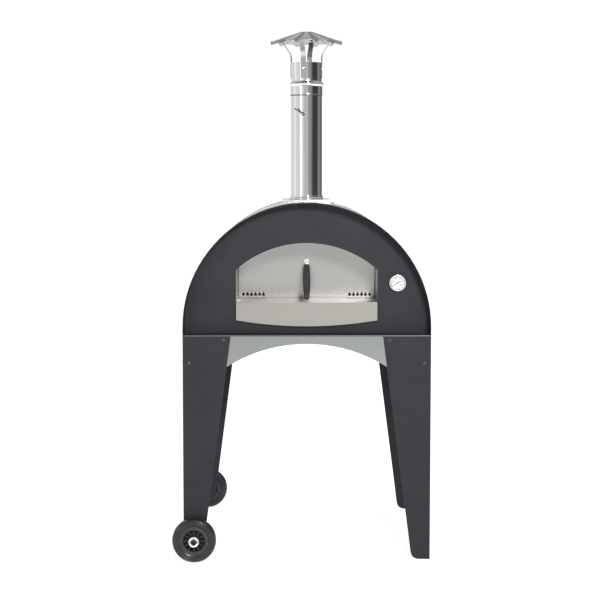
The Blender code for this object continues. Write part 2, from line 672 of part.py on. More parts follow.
def build_door(oven):
    """A loose pan of sheet with a skin inside it and a slanting grip."""
    door = empty("door_frame", (0, DOOR_Y, HEARTH_Z), oven)
    floor = HEARTH_Z + 0.0006

    def at_door(outline):
        return [(u, v - HEARTH_Z) for u, v in outline]

    panel = prism("door_panel", at_door(door_outline(DOOR_GAP, floor)), (0, DOOR_THICKNESS),
                  "stainless", door, holes=[at_door(loop) for loop in vent_outlines()])
    pan = prism("door_hollow", at_door(door_outline(DOOR_GAP + SHEET, floor + SHEET)),
                (SHEET, DOOR_THICKNESS * 2), None, door)
    boolean(panel, pan)
    skin = door_outline(DOOR_GAP + SHEET + 0.0005, floor + SHEET + 0.0005)
    prism("door_inner_skin", at_door(skin), (DOOR_THICKNESS - 0.0020, DOOR_THICKNESS - 0.0005),
          "stainless", door, holes=[at_door(loop) for loop in vent_outlines(0.0003)])

    # The handle leans out and down from the door; +Z runs along it.
    root = (0, -GAP, 0.137)
    lean = (math.radians(131), 0, 0)
    stud = turned("handle_stud", [(0, 0), (0.010, 0), (0.0092, 0.003), (0, 0.003)], 16, "zinc",
                  door, location=root, rotation=FACING_FRONT)
    stem = bmesh.new()
    lean_matrix = Matrix.Translation(root) @ Matrix.Rotation(lean[0], 4, "X")
    add_turned(stem, rod(0.003, 0.0035, 0.044), 12, lean_matrix)
    boolean(stud, add_object("stud_stem", stem, None, door), "UNION")
    turned("handle_ferrule", [(0.0034, 0.012), (0.0048, 0.012), (0.0100, 0.021), (0.0118, 0.0262),
                              (0.0034, 0.0262)], 20, "chrome", door, location=root, rotation=lean)
    grip = [(0, 0.046), (0.0034, 0.046), (0.0034, 0.0265), (0.0112, 0.0265), (0.0120, 0.0285),
            (0.0135, 0.060), (0.0142, 0.098), (0.0135, 0.134), (0.0116, 0.166), (0.0102, 0.186),
            (0.0085, 0.1905), (0, 0.192)]
    turned("handle_grip", grip, 20, "grip", door, location=root, rotation=lean)


# ------------------------------------------------------- the thermometer

def build_thermometer(oven):
    gauge = empty("thermometer_axis", (DIAL_X, PANEL_Y, DIAL_Z), oven)
    case = [(0, -0.0120), (0.0060, -0.0120), (0.0060, GAP), (0.0290, GAP), (0.0300, 0.0012),
            (0.0300, 0.0112), (0.0286, 0.0112), (0.0286, 0.0022), (0, 0.0022)]
    turned("thermometer_case", case, SMALL_STEPS, "chrome", gauge, rotation=FACING_FRONT)
    bezel = [(0.0262, 0.0122), (0.0270, 0.0115), (0.0305, 0.0115), (0.0305, 0.0128),
             (0.0290, 0.0142), (0.0270, 0.0142)]
    turned("thermometer_bezel", bezel, SMALL_STEPS, "chrome", gauge, rotation=FACING_FRONT)
    turned("thermometer_dial", ring(0.0015, 0.0280, 0.0030, 0.0040), SMALL_STEPS, "dial_white", gauge,
           rotation=FACING_FRONT)
    turned("thermometer_glass", rod(0.0280, 0.0088, 0.0102), SMALL_STEPS, "glass", gauge,
           rotation=FACING_FRONT)
    turned("thermometer_probe", rod(0.003, 0.0123, 0.290), 12, "zinc", gauge,
           rotation=FACING_REAR)
    prism("thermometer_lock_nut", arc((0, 0), 0.0125, 0, 300, 5), (0.0033, 0.0085), "zinc", gauge,
          holes=[arc((0, 0), 0.0064, 0, 345, 23)])

    needle = turned("thermometer_needle", [(0, 0.0026), (0.0010, 0.0026), (0.0010, 0.0050),
                                           (0.0024, 0.0050), (0.0020, 0.0066), (0, 0.0070)], 12,
                    "needle_black", gauge, rotation=FACING_FRONT)
    pointer = [(0.0205, 0.0002), (0.0030, 0.0011), (-0.0090, 0.0014), (-0.0090, -0.0014),
               (0.0030, -0.0011), (0.0205, -0.0002)]
    blade = prism("needle_blade", pointer, (-0.0062, -0.0056), None, gauge,
                  rotation=(0, -NEEDLE_REST, 0))
    boolean(needle, blade, "UNION")


def build_oven():
    clear_scene()
    oven = empty("pizza_oven", (ORIGIN_SHIFT, 0, 0))
    roof_vault = build_shell(oven)
    flue_axis, flue_hole = build_flue(oven, roof_vault)
    build_mouth(oven)
    build_chamber(oven, flue_hole)
    build_stand(oven)
    build_axle(oven)
    build_wheel("front_wheel", -1, oven)
    build_wheel("rear_wheel", 1, oven)
    build_damper(flue_axis)
    build_cap(flue_axis)
    build_door(oven)
    build_thermometer(oven)
    bpy.context.view_layer.update()


build_oven()
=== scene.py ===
"""Looks of the wood fired pizza oven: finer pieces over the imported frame, finishes and a studio."""

import json
import math

import bmesh
import bpy
from mathutils import Matrix, Vector


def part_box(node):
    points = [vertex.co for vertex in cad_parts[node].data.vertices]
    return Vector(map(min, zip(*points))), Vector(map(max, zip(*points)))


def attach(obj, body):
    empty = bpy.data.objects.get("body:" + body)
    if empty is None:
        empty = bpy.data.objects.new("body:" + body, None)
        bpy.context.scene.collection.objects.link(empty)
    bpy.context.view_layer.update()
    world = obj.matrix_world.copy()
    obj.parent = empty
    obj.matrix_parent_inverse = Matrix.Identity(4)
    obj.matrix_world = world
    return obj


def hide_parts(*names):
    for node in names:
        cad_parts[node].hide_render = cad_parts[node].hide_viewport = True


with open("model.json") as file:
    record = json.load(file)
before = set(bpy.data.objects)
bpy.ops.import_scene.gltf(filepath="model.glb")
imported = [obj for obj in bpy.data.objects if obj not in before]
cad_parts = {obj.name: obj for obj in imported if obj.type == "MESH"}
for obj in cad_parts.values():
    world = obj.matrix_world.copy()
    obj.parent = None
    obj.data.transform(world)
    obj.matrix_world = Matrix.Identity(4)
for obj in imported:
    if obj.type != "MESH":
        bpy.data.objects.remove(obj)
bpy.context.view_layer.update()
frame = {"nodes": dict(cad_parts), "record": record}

NODES = frame["nodes"]
BODIES = frame["record"]["behaviour"]["bodies"]
BODY_OF = {node: body for body, members in BODIES.items() for node in members}


def middle(node):
    """The middle of a CAD node's box."""
    low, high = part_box(node)
    return (low + high) / 2


CENTRE_X = middle("front_panel").x
FLUE = middle("flue_pipe")
GAUGE = middle("thermometer_case")
FLUE_TURN = math.radians(-12)
FACING_FRONT = Matrix.Rotation(math.pi / 2, 4, "X")
FACING_REAR = Matrix.Rotation(-math.pi / 2, 4, "X")


# ---------------------------------------------------------------- finishes

def node(tree, kind, inputs=None, **settings):
    """A shader node whose inputs are linked to sockets or set to values."""
    made = tree.nodes.new(kind)
    for key, value in settings.items():
        setattr(made, key, value)
    for key, value in (inputs or {}).items():
        if isinstance(value, bpy.types.NodeSocket):
            tree.links.new(value, made.inputs[key])
        else:
            made.inputs[key].default_value = value
    return made


def material(name, **sockets):
    made = bpy.data.materials.new(name)
    made.use_nodes = True
    shader = made.node_tree.nodes["Principled BSDF"]
    for key, value in sockets.items():
        shader.inputs[key.replace("_", " ")].default_value = value
    return made, made.node_tree, shader


def place(tree, scale=(1, 1, 1)):
    """Object coordinates, stretched by scale."""
    source = node(tree, "ShaderNodeTexCoord").outputs["Object"]
    inputs = {"Vector": source, "Scale": scale}
    return node(tree, "ShaderNodeMapping", inputs).outputs["Vector"]


def noise(tree, vector, scale, detail=4.0, roughness=0.55, distortion=0.0):
    inputs = {"Vector": vector, "Scale": scale, "Detail": detail, "Roughness": roughness,
              "Distortion": distortion}
    return node(tree, "ShaderNodeTexNoise", inputs).outputs["Fac"]


def spread(tree, value, low, high, to_low=0.0, to_high=1.0):
    """Maps a value's range low..high to to_low..to_high, clamped."""
    inputs = {"Value": value, "From Min": low, "From Max": high, "To Min": to_low,
              "To Max": to_high}
    return node(tree, "ShaderNodeMapRange", inputs).outputs["Result"]


def maths(tree, operation, first, second=0.0):
    return node(tree, "ShaderNodeMath", {0: first, 1: second}, operation=operation).outputs[0]


def blend(tree, factor, first, second):
    made = node(tree, "ShaderNodeMix", data_type="RGBA")
    for key, value in ((0, factor), (6, first), (7, second)):
        if isinstance(value, bpy.types.NodeSocket):
            tree.links.new(value, made.inputs[key])
        elif key:
            made.inputs[key].default_value = (*value, 1.0)
        else:
            made.inputs[key].default_value = value
    return made.outputs[2]


def bump(tree, height, strength, distance, normal=None):
    inputs = {"Height": height, "Strength": strength, "Distance": distance}
    if normal:
        inputs["Normal"] = normal
    return node(tree, "ShaderNodeBump", inputs).outputs["Normal"]


def edge_wear(tree, radius, amount):
    """Up to amount on edges that rub, broken up by noise, and 0 on open faces."""
    rounded = node(tree, "ShaderNodeBevel", {"Radius": radius}, samples=4).outputs["Normal"]
    true = node(tree, "ShaderNodeNewGeometry").outputs["Normal"]
    dot = node(tree, "ShaderNodeVectorMath", {0: rounded, 1: true}, operation="DOT_PRODUCT")
    edge = spread(tree, dot.outputs["Value"], 0.97, 0.80)
    patches = spread(tree, noise(tree, place(tree), 55, 5, 0.7), 0.46, 0.66, 0.15, 1.0)
    return maths(tree, "MULTIPLY", maths(tree, "MULTIPLY", edge, patches), amount)


def join(tree, shader, colour=None, roughness=None, normal=None):
    for socket, value in (("Base Color", colour), ("Roughness", roughness), ("Normal", normal)):
        if value is not None:
            tree.links.new(value, shader.inputs[socket])


def powder_coat():
    """Anthracite textured powder: fine grain, faint mottle, edges rubbed a little lighter."""
    made, tree, shader = material("powder_coat", Metallic=0.0, Specular_IOR_Level=0.20)
    mottle = noise(tree, place(tree), 9, 5, 0.6)
    grain = noise(tree, place(tree), 900, 3, 0.6)
    dark = blend(tree, spread(tree, mottle, 0.3, 0.7), (0.0135, 0.0127, 0.0166),
                 (0.0178, 0.0168, 0.0214))
    speckled = blend(tree, spread(tree, grain, 0.58, 0.75, 0.0, 0.35), dark, (0.045, 0.044, 0.049))
    worn = blend(tree, edge_wear(tree, 0.0012, 0.5), speckled, (0.13, 0.13, 0.135))
    rough = spread(tree, noise(tree, place(tree), 26, 5, 0.65), 0.3, 0.7, 0.46, 0.58)
    orange_peel = bump(tree, noise(tree, place(tree), 320, 2, 0.5), 0.22, 0.0006)
    join(tree, shader, worn, rough, bump(tree, grain, 0.25, 0.0002, orange_peel))
    return made


def brushed(name, grain, tone=(0.60, 0.59, 0.565), roughness=0.36, soot=0.0, tint=0.0,
            painted_top_light=None):
    """Satin stainless steel with its grain along one axis."""
    made, tree, shader = material(name, Metallic=1.0)
    fine = [1400.0, 1400.0, 1400.0]
    coarse = [160.0, 160.0, 160.0]
    fine["XYZ".index(grain)] = 9.0
    coarse["XYZ".index(grain)] = 2.2
    lines = noise(tree, place(tree, fine), 1.0, 3, 0.65)
    bands = noise(tree, place(tree, coarse), 1.0, 4, 0.6)
    cloud = noise(tree, place(tree), 6.5, 4, 0.55)
    light = tuple(min(1.0, 1.025 * value) for value in tone)
    dark = tuple(0.965 * value for value in tone)
    streaks = maths(tree, "ADD", maths(tree, "MULTIPLY", lines, 0.6),
                    maths(tree, "MULTIPLY", bands, 0.4))
    colour = blend(tree, spread(tree, streaks, 0.36, 0.64), dark, light)
    colour = blend(tree, spread(tree, cloud, 0.35, 0.75, 0.0, 0.12), colour,
                   (tone[0] * 0.84, tone[1] * 0.83, tone[2] * 0.80))
    if tint:
        straw = spread(tree, noise(tree, place(tree), 11, 4, 0.6), 0.48, 0.80, 0.0, tint)
        colour = blend(tree, straw, colour, (0.50, 0.37, 0.20))
    if soot:
        black = spread(tree, noise(tree, place(tree), 7, 6, 0.65), 0.30, 0.62, 0.1 * soot, soot)
        colour = blend(tree, black, colour, (0.035, 0.031, 0.028))
    smear = noise(tree, place(tree), 13, 4, 0.6)
    rough = maths(tree, "ADD", spread(tree, smear, 0.3, 0.7, roughness - 0.012, roughness + 0.016),
                  spread(tree, lines, 0.3, 0.7, -0.02, 0.02))
    # Painted light: faces turned upward are blended toward a lighter colour and made a little
    # rougher, standing in for the light that falls on the top.
    if painted_top_light:
        normal = node(tree, "ShaderNodeNewGeometry").outputs["Normal"]
        upward = node(tree, "ShaderNodeSeparateXYZ", {"Vector": normal}).outputs["Z"]
        painted_top_light_mask = spread(tree, upward, 0.55, 0.90)
        colour = blend(tree, painted_top_light_mask, colour, painted_top_light)
        rough = maths(tree, "ADD", rough, maths(tree, "MULTIPLY", painted_top_light_mask, 0.14))
    join(tree, shader, colour, rough, bump(tree, lines, 0.10, 0.0002))
    return made


def polished():
    """Mirror steel tube: fine drawn lines, faint handling marks and a trace of heat colour."""
    made, tree, shader = material("polished_steel", Metallic=1.0)
    lines = noise(tree, place(tree, (700, 700, 6)), 1.0, 3, 0.6)
    marks = noise(tree, place(tree, (1, 1, 0.5)), 22, 6, 0.7)
    smudge = spread(tree, marks, 0.52, 0.74)
    warm = spread(tree, noise(tree, place(tree, (1, 1, 0.4)), 8, 3, 0.5), 0.45, 0.80, 0.0, 0.22)
    steel = blend(tree, spread(tree, lines, 0.35, 0.65), (0.74, 0.74, 0.735), (0.82, 0.82, 0.82))
    colour = blend(tree, warm, steel, (0.74, 0.70, 0.62))
    rough = maths(tree, "ADD", maths(tree, "MULTIPLY", smudge, 0.03),
                  spread(tree, lines, 0.3, 0.7, 0.03, 0.05))
    ripple = bump(tree, noise(tree, place(tree, (1, 1, 0.25)), 14, 2, 0.4), 0.10, 0.004)
    join(tree, shader, colour, rough, bump(tree, lines, 0.05, 0.0001, ripple))
    return made


def plated(name, tone, roughness):
    """Bright plating with faint pits and rubbed patches."""
    made, tree, shader = material(name, Metallic=1.0)
    cloud = noise(tree, place(tree), 60, 5, 0.6)
    pits = node(tree, "ShaderNodeTexVoronoi", {"Vector": place(tree), "Scale": 420.0})
    dark = tuple(0.78 * value for value in tone)
    colour = blend(tree, spread(tree, cloud, 0.35, 0.75, 0.0, 0.6), tone, dark)
    rough = spread(tree, cloud, 0.3, 0.75, roughness, roughness + 0.16)
    pitted = spread(tree, pits.outputs["Distance"], 0.0, 0.18)
    join(tree, shader, colour, rough, bump(tree, pitted, 0.12, 0.0001))
    return made


def firebrick():
    """Pale pressed clay: grog specks, fine pores and grey ash worn into the face."""
    made, tree, shader = material("firebrick", Metallic=0.0)
    body = noise(tree, place(tree), 22, 6, 0.65)
    grog = node(tree, "ShaderNodeTexVoronoi", {"Vector": place(tree), "Scale": 190.0})
    pores = noise(tree, place(tree), 480, 3, 0.7)
    clay = blend(tree, spread(tree, body, 0.3, 0.7), (0.60, 0.47, 0.31), (0.74, 0.62, 0.45))
    specks = spread(tree, grog.outputs["Distance"], 0.10, 0.22, 0.65, 0.0)
    colour = blend(tree, specks, clay, (0.42, 0.27, 0.16))
    ash = spread(tree, noise(tree, place(tree), 5.5, 5, 0.6), 0.44, 0.68, 0.0, 0.7)
    colour = blend(tree, ash, colour, (0.21, 0.195, 0.18))
    rough = spread(tree, body, 0.3, 0.7, 0.84, 0.96)
    height = maths(tree, "ADD", pores, maths(tree, "MULTIPLY", body, 1.4))
    join(tree, shader, colour, rough, bump(tree, height, 0.55, 0.0012))
    return made


def board():
    """Grey pressed mineral board with short fibres."""
    made, tree, shader = material("mineral_board", Metallic=0.0)
    fibres = noise(tree, place(tree, (1, 6, 6)), 60, 6, 0.7, 0.6)
    colour = blend(tree, spread(tree, fibres, 0.3, 0.7), (0.46, 0.44, 0.41), (0.66, 0.64, 0.60))
    rough = spread(tree, fibres, 0.3, 0.7, 0.90, 0.99)
    join(tree, shader, colour, rough, bump(tree, fibres, 0.5, 0.0015))
    return made


def fibre():
    """White ceramic blanket: matted strands and soft lumps."""
    made, tree, shader = material("fibre_blanket", Metallic=0.0, Sheen_Weight=0.25)
    strands = noise(tree, place(tree, (1, 1, 5)), 90, 7, 0.75, 1.2)
    lumps = noise(tree, place(tree), 14, 4, 0.6)
    colour = blend(tree, spread(tree, strands, 0.3, 0.7), (0.74, 0.72, 0.67), (0.90, 0.89, 0.86))
    height = maths(tree, "ADD", strands, maths(tree, "MULTIPLY", lumps, 2.0))
    rough = spread(tree, strands, 0.3, 0.7, 0.93, 1.0)
    join(tree, shader, colour, rough, bump(tree, height, 0.7, 0.004))
    return made


def rubber():
    """Grey-black moulded rubber with bloom, dust in the low places and scuffed shoulders."""
    made, tree, shader = material("rubber", Metallic=0.0, Specular_IOR_Level=0.42)
    bloom = noise(tree, place(tree), 30, 5, 0.6)
    grit = noise(tree, place(tree), 650, 3, 0.7)
    colour = blend(tree, spread(tree, bloom, 0.35, 0.7), (0.007, 0.007, 0.008),
                   (0.013, 0.013, 0.014))
    dust = spread(tree, noise(tree, place(tree), 75, 6, 0.7), 0.56, 0.80, 0.0, 0.16)
    colour = blend(tree, dust, colour, (0.12, 0.115, 0.11))
    colour = blend(tree, edge_wear(tree, 0.0015, 0.4), colour, (0.12, 0.12, 0.12))
    rough = spread(tree, bloom, 0.3, 0.7, 0.20, 0.30)
    join(tree, shader, colour, rough, bump(tree, grit, 0.35, 0.0004))
    return made


def moulded(name, low, high, roughness, grain=420, depth=0.0003):
    """Moulded plastic: an even spark grain, slight flow marks and polished edges."""
    made, tree, shader = material(name, Metallic=0.0, Specular_IOR_Level=0.28)
    flow = noise(tree, place(tree, (1, 1, 2.2)), 18, 4, 0.6)
    spark = noise(tree, place(tree), grain, 2, 0.5)
    colour = blend(tree, spread(tree, flow, 0.3, 0.7), low, high)
    worn = tuple(min(1.0, 2.4 * value) for value in high)
    colour = blend(tree, edge_wear(tree, 0.0010, 0.35), colour, worn)
    rough = spread(tree, flow, 0.3, 0.7, roughness - 0.05, roughness + 0.07)
    join(tree, shader, colour, rough, bump(tree, spark, 0.3, depth))
    return made


def enamel(name, low, high, roughness):
    """A smooth baked print or enamel, not quite even."""
    made, tree, shader = material(name, Metallic=0.0)
    cloud = noise(tree, place(tree), 90, 4, 0.6)
    peel = noise(tree, place(tree), 700, 2, 0.5)
    colour = blend(tree, spread(tree, cloud, 0.3, 0.7), low, high)
    rough = spread(tree, cloud, 0.3, 0.7, roughness - 0.04, roughness + 0.06)
    join(tree, shader, colour, rough, bump(tree, peel, 0.08, 0.0001))
    return made


def clear_glass():
    made, tree, shader = material("gauge_glass", Metallic=0.0, Transmission_Weight=1.0, IOR=1.45,
                                  Base_Color=(0.98, 0.99, 0.99, 1.0), Roughness=0.02)
    smear = noise(tree, place(tree), 120, 5, 0.6)
    rough = spread(tree, smear, 0.5, 0.8, 0.01, 0.08)
    join(tree, shader, None, rough, bump(tree, smear, 0.02, 0.0001))
    return made


FINISH = {
    "black_paint": powder_coat(),
    "steel_x": brushed("satin_steel_across", "X", roughness=0.30),
    "steel_apron": brushed("satin_steel_apron", "X", (0.218, 0.230, 0.226), 0.26),
    "steel_y": brushed("satin_steel_lengthwise", "Y", roughness=0.30),
    "steel_door": brushed("satin_steel_door", "X", (0.345, 0.338, 0.328), 0.27),
    # The sill's upward faces get a painted lighter colour, standing in for the light on its top.
    "steel_sill": brushed("satin_steel_sill", "X", (0.280, 0.272, 0.252), 0.34,
                          painted_top_light=(0.46, 0.455, 0.43)),
    "steel_tray": brushed("satin_steel_tray", "X", (0.14, 0.14, 0.14), 0.34),
    "steel_hat": brushed("satin_steel_hat", "Z", (0.42, 0.42, 0.42), 0.22),
    "steel_mouth": brushed("satin_steel_mouth", "Y", (0.52, 0.505, 0.475), 0.30, tint=0.25),
    "steel_fired": brushed("satin_steel_fired", "X", (0.52, 0.49, 0.45), 0.45, 0.85, 0.6),
    "steel_sooted": brushed("satin_steel_sooted", "X", (0.10, 0.095, 0.09), 0.70, 1.0),
    "polished_steel": polished(),
    "chrome": plated("chrome_plate", (0.84, 0.84, 0.85), 0.08),
    "zinc": plated("zinc_plate", (0.70, 0.71, 0.72), 0.24),
    "screw": plated("screw_plate", (0.085, 0.085, 0.09), 0.30),
    # Painted shade: the damper lever's wire gets a dark tone, standing in for its shaded side.
    "wire": plated("lever_wire", (0.10, 0.10, 0.10), 0.24),
    "firebrick": firebrick(),
    "board": board(),
    "fibre": fibre(),
    "rubber": rubber(),
    "nylon": moulded("nylon_rim", (0.024, 0.023, 0.027), (0.034, 0.033, 0.038), 0.42),
    # Painted shade: a near-black nylon for the wheel recess, hub bush and axle plugs, standing in for
    # the shade in these hollows.
    "nylon_painted_shade": moulded("painted_shade_nylon", (0.003, 0.003, 0.003), (0.005, 0.005, 0.005), 0.65),
    "grip": moulded("grip_plastic", (0.032, 0.029, 0.032), (0.046, 0.042, 0.046), 0.42, 300,
                    0.0004),
    "dial_white": enamel("dial_enamel", (0.88, 0.88, 0.87), (0.95, 0.95, 0.94), 0.35),
    "dial_print": enamel("dial_print", (0.03, 0.03, 0.03), (0.06, 0.06, 0.06), 0.5),
    "dial_grey": enamel("dial_arc_print", (0.30, 0.31, 0.33), (0.38, 0.39, 0.41), 0.5),
    "needle_black": enamel("needle_paint", (0.015, 0.015, 0.015), (0.03, 0.03, 0.03), 0.35),
    "glass": clear_glass(),
    "black_steel": moulded("axle_paint", (0.022, 0.022, 0.024), (0.034, 0.034, 0.036), 0.40, 500),
}


# ---------------------------------------------------------------- shapes

SHARP_ANGLE = math.radians(35)          # edges sharper than this stay crisp
BREAK_ANGLE = math.radians(30)          # edges sharper than this are broken by refine
FLAT_ANGLE = math.radians(0.4)          # faces flatter than this are merged
STRAIGHT_ANGLE = math.radians(172)      # profile corners more open than this are left alone
MERGE_DISTANCE = 2e-6


def add_piece(name, bm, finish, body, replaces=()):
    """Turns a bmesh into a finished piece that rides with its body."""
    mesh = bpy.data.meshes.new(name)
    bmesh.ops.recalc_face_normals(bm, faces=bm.faces)
    bm.to_mesh(mesh)
    bm.free()
    mesh.shade_smooth()
    mesh.set_sharp_from_angle(angle=SHARP_ANGLE)
    made = bpy.data.objects.new(name, mesh)
    bpy.context.scene.collection.objects.link(made)
    mesh.materials.append(FINISH[finish])
    modifier = made.modifiers.new("normals", "WEIGHTED_NORMAL")
    modifier.keep_sharp = True
    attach(made, body)
    if replaces:
        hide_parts(*replaces)
    return made


def bevel_edges(bm, edges, width, segments=2):
    if edges:
        bmesh.ops.bevel(bm, geom=list(edges), offset=width, segments=segments, profile=0.5,
                        affect="EDGES", clamp_overlap=True)


def refine(source, finish, bevel=0.0005, fold=None, fold_radius=0.0, segments=2):
    """A CAD node's own shape with its sheet edges broken and its folds rounded."""
    bm = bmesh.new()
    bm.from_mesh(NODES[source].data)
    bmesh.ops.remove_doubles(bm, verts=bm.verts, dist=MERGE_DISTANCE)
    bmesh.ops.dissolve_limit(bm, angle_limit=FLAT_ANGLE, verts=bm.verts, edges=bm.edges)
    if fold:
        bevel_edges(bm, [edge for edge in bm.edges if fold(edge)], fold_radius, 4)
    sharp = [edge for edge in bm.edges
             if len(edge.link_faces) == 2 and edge.calc_face_angle(0) > BREAK_ANGLE]
    bevel_edges(bm, sharp, bevel, segments)
    return add_piece(f"{source}_finished", bm, finish, BODY_OF[source], (source,))


def rounded(profile, radius, steps=3):
    """The profile with each corner between its ends turned into a small arc."""
    points = [profile[0]]
    for before, corner, after in zip(profile, profile[1:], profile[2:]):
        here = Vector(corner)
        back, ahead = Vector(before) - here, Vector(after) - here
        cut = min(radius, back.length * 0.45, ahead.length * 0.45)
        if back.angle(ahead, math.pi) > STRAIGHT_ANGLE:
            points.append(corner)
            continue
        start, end = here + back.normalized() * cut, here + ahead.normalized() * cut
        for step in range(steps + 1):
            t = step / steps
            mixed = (1 - t) ** 2 * start + 2 * t * (1 - t) * here + t ** 2 * end
            points.append(tuple(mixed))
    points.append(profile[-1])
    return points


def lathe(bm, profile, steps, matrix=Matrix.Identity(4), closed=False):
    """Turns (radius, height) points round +Z; a closed profile makes a ring."""
    loops = []
    for radius, height in profile:
        if radius < 1e-7:
            loops.append([bm.verts.new(matrix @ Vector((0, 0, height)))])
            continue
        loops.append([bm.verts.new(matrix @ Vector((radius * math.cos(math.tau * i / steps),
                                                    radius * math.sin(math.tau * i / steps),
                                                    height))) for i in range(steps)])
    pairs = list(zip(loops, loops[1:]))
    if closed:
        pairs.append((loops[-1], loops[0]))
    for low, high in pairs:
        for i in range(steps):
            j = (i + 1) % steps
            corners = [low[i % len(low)], low[j % len(low)], high[j % len(high)],
                       high[i % len(high)]]
            unique = list(dict.fromkeys(corners))
            if len(unique) > 2:
                bm.faces.new(unique)


def closed_ring(profile, radius):
    """A closed profile with every corner rounded."""
    doubled = profile + profile[:2]
    full = rounded(doubled, radius)
    return full[1:-1]


def turned(name, profile, steps, matrix, finish, source, ring=False, replaces=True):
    """A lathed piece that takes its body and slot from a CAD node."""
    bm = bmesh.new()
    lathe(bm, profile, steps, matrix, ring)
    return add_piece(name, bm, finish, BODY_OF[source],
                     (source,) if replaces else ())


def block(bm, low, high, matrix=Matrix.Identity(4)):
    """A plain cuboid between two corners, to be bevelled or used as fine print."""
    corners = [matrix @ Vector((x, y, z)) for z in (low[2], high[2])
               for x, y in ((low[0], low[1]), (high[0], low[1]), (high[0], high[1]),
                            (low[0], high[1]))]
    v = [bm.verts.new(corner) for corner in corners]
    for face in ((3, 2, 1, 0), (4, 5, 6, 7), (0, 1, 5, 4), (1, 2, 6, 5), (2, 3, 7, 6),
                 (3, 0, 4, 7)):
        bm.faces.new([v[index] for index in face])


# ---------------------------------------------------------------- the body

def is_fold_of_leg(edge):
    """The upright corner between a leg's two flanges, outside and inside."""
    one, two = (vert.co for vert in edge.verts)
    if abs(one.x - two.x) > 1e-4 or abs(one.y - two.y) > 1e-4 or abs(one.z - two.z) < 0.1:
        return False
    low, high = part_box("front_panel")
    return (min(abs(one.x - low.x), abs(one.x - high.x)) < 0.0035
            and abs(abs(one.y) + low.y) < 0.0035)


def build_body():
    refine("front_panel", "black_paint", 0.0009, segments=3)
    refine("rear_panel", "steel_x", 0.0005)
    refine("roof_vault", "steel_y", 0.0004)
    refine("base_tray", "steel_tray", 0.0008)
    refine("flue_saddle_plate", "steel_x", 0.0005)
    for row in ("front", "rear"):
        refine(f"{row}_apron", "steel_apron", 0.0004)
        for end in ("left", "right"):
            refine(f"leg_{row}_{end}", "black_paint", 0.0007, is_fold_of_leg, 0.0024)
    for end in ("left", "right"):
        refine(f"{end}_side_skirt", "steel_y", 0.0004)
    refine("hearth_sill", "steel_sill", 0.0012, segments=3)
    refine("mouth_tunnel", "steel_mouth", 0.0004)
    refine("chamber_front_wall", "steel_fired", 0.0005)
    refine("chamber_rear_wall", "steel_fired", 0.0005)
    refine("chamber_vault", "steel_fired", 0.0004)
    for number in range(1, 5):
        refine(f"firebrick_{number}", "firebrick", 0.0025, segments=3)
    for name, finish in (("floor_insulation_board", "board"), ("dome_insulation", "fibre"),
                         ("rear_insulation", "fibre")):
        NODES[name].data.materials.clear()
        NODES[name].data.materials.append(FINISH[finish])


# ---------------------------------------------------------------- screws

LEG_SCREW_PLACES = ((0.149, 0.8055), (0.023, 0.722))    # in from the leg's corner, height


def button_screw(bm, matrix, head=0.0046, height=0.0026, washer=0.0060, shank=0.0029,
                 length=0.010):
    """A socket button head on a washer, with its shank through the sheet."""
    dome = [(0.0, height - 0.0012), (0.0018, height - 0.0012), (0.0021, height)]
    for step in range(1, 7):
        angle = math.radians(15 * step)
        dome.append((0.0021 + (head - 0.0021) * math.sin(angle),
                     0.0009 + (height - 0.0009) * math.cos(angle)))
    dome += [(head, 0.0009), (shank, 0.0009)]
    tip = -length
    full = dome + [(shank, tip + 0.0006), (shank - 0.0006, tip), (0.0, tip)]
    lathe(bm, full, 28, matrix)
    bore = shank + 0.0001
    flat = rounded([(bore, 0.0), (washer, 0.0), (washer, 0.0008), (bore, 0.0008)], 0.0002, 2)
    lathe(bm, flat, 28, matrix, closed=True)


def build_leg_screws():
    low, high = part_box("front_panel")
    half_width = (high.x - low.x) / 2
    half_depth = -low.y
    bm = bmesh.new()
    for side_x in (-1, 1):
        for side_y in (-1, 1):
            for inset, z in LEG_SCREW_PLACES:
                spot = Vector((CENTRE_X + side_x * (half_width - inset), side_y * half_depth, z))
                turn = Matrix.Rotation(-side_y * math.pi / 2, 4, "X")
                button_screw(bm, Matrix.Translation(spot) @ turn)
                spot = Vector((CENTRE_X + side_x * half_width, side_y * (half_depth - inset), z))
                turn = Matrix.Rotation(side_x * math.pi / 2, 4, "Y")
                button_screw(bm, Matrix.Translation(spot) @ turn)
    add_piece("leg_screws", bm, "screw", "oven")


# ---------------------------------------------------------------- the wheels

RIBS = 12
RIB_INNER, RIB_OUTER = 0.0220, 0.0390
RIB_FOOT, RIB_TOP = 0.0030, 0.0146
RIB_HALF = 0.0017


